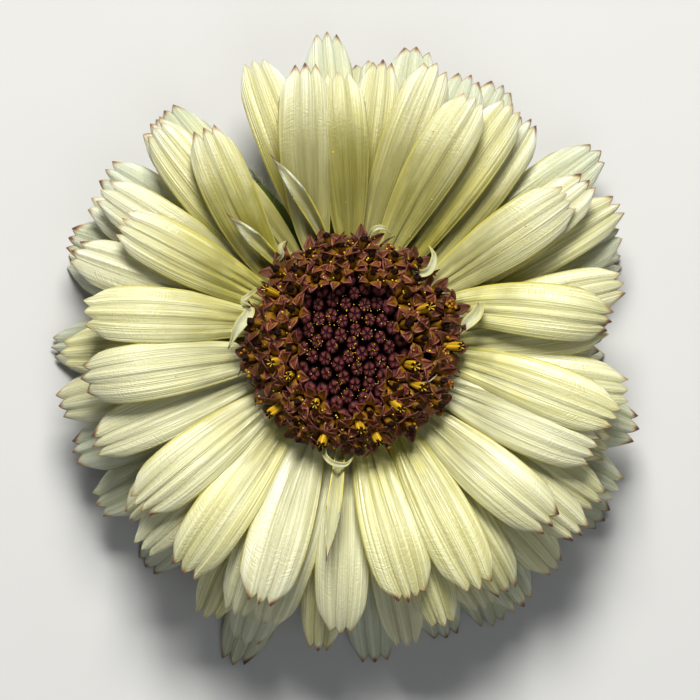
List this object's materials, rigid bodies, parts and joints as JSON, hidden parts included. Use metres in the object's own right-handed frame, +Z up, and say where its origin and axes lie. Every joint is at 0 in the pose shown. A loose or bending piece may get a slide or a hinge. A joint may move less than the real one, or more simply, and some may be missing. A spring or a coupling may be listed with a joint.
{
  "type": "pot marigold flower head",
  "caption": "Double cream pot marigold head with layered toothed rays, a dark disc of open and closed florets, green bracts and a short cut stem, lying face up.",
  "frame": {"origin": "under the middle of the head's outline, on the surface that it rests on", "axes": "+Z up, out of the face of the flower; +Y along the longer side of its outline, towards the top of the flower as it was seen"},
  "size_m": [0.0624, 0.067, 0.0194],
  "materials": {
    "stem_green": "ribbed hairy green stem, pale and moist at its cut end",
    "bract_green": "matte green bracts with fine pale hairs and reddish tips",
    "ray_shaded": "thin satin petal, a cooler cream with fine lengthwise veins and brown tooth tips",
    "ray_cream": "thin satin petal, cream over a yellow-olive root, with fine lengthwise veins and brown tooth tips",
    "floret_maroon": "velvety dusty maroon lobes with rosy edges round olive throats",
    "bud_purple": "dark wine buds with rosier tops"
  },
  "bodies": {
    "root": {"stem": "stem_green", "involucre": "bract_green", "ray_whorl_5": "ray_shaded", "ray_whorl_4": "ray_shaded", "ray_whorl_3": "ray_cream", "ray_whorl_2": "ray_cream", "ray_whorl_1": "ray_cream", "disc_florets": "floret_maroon", "disc_buds": "bud_purple"}
  },
  "joints": []
}
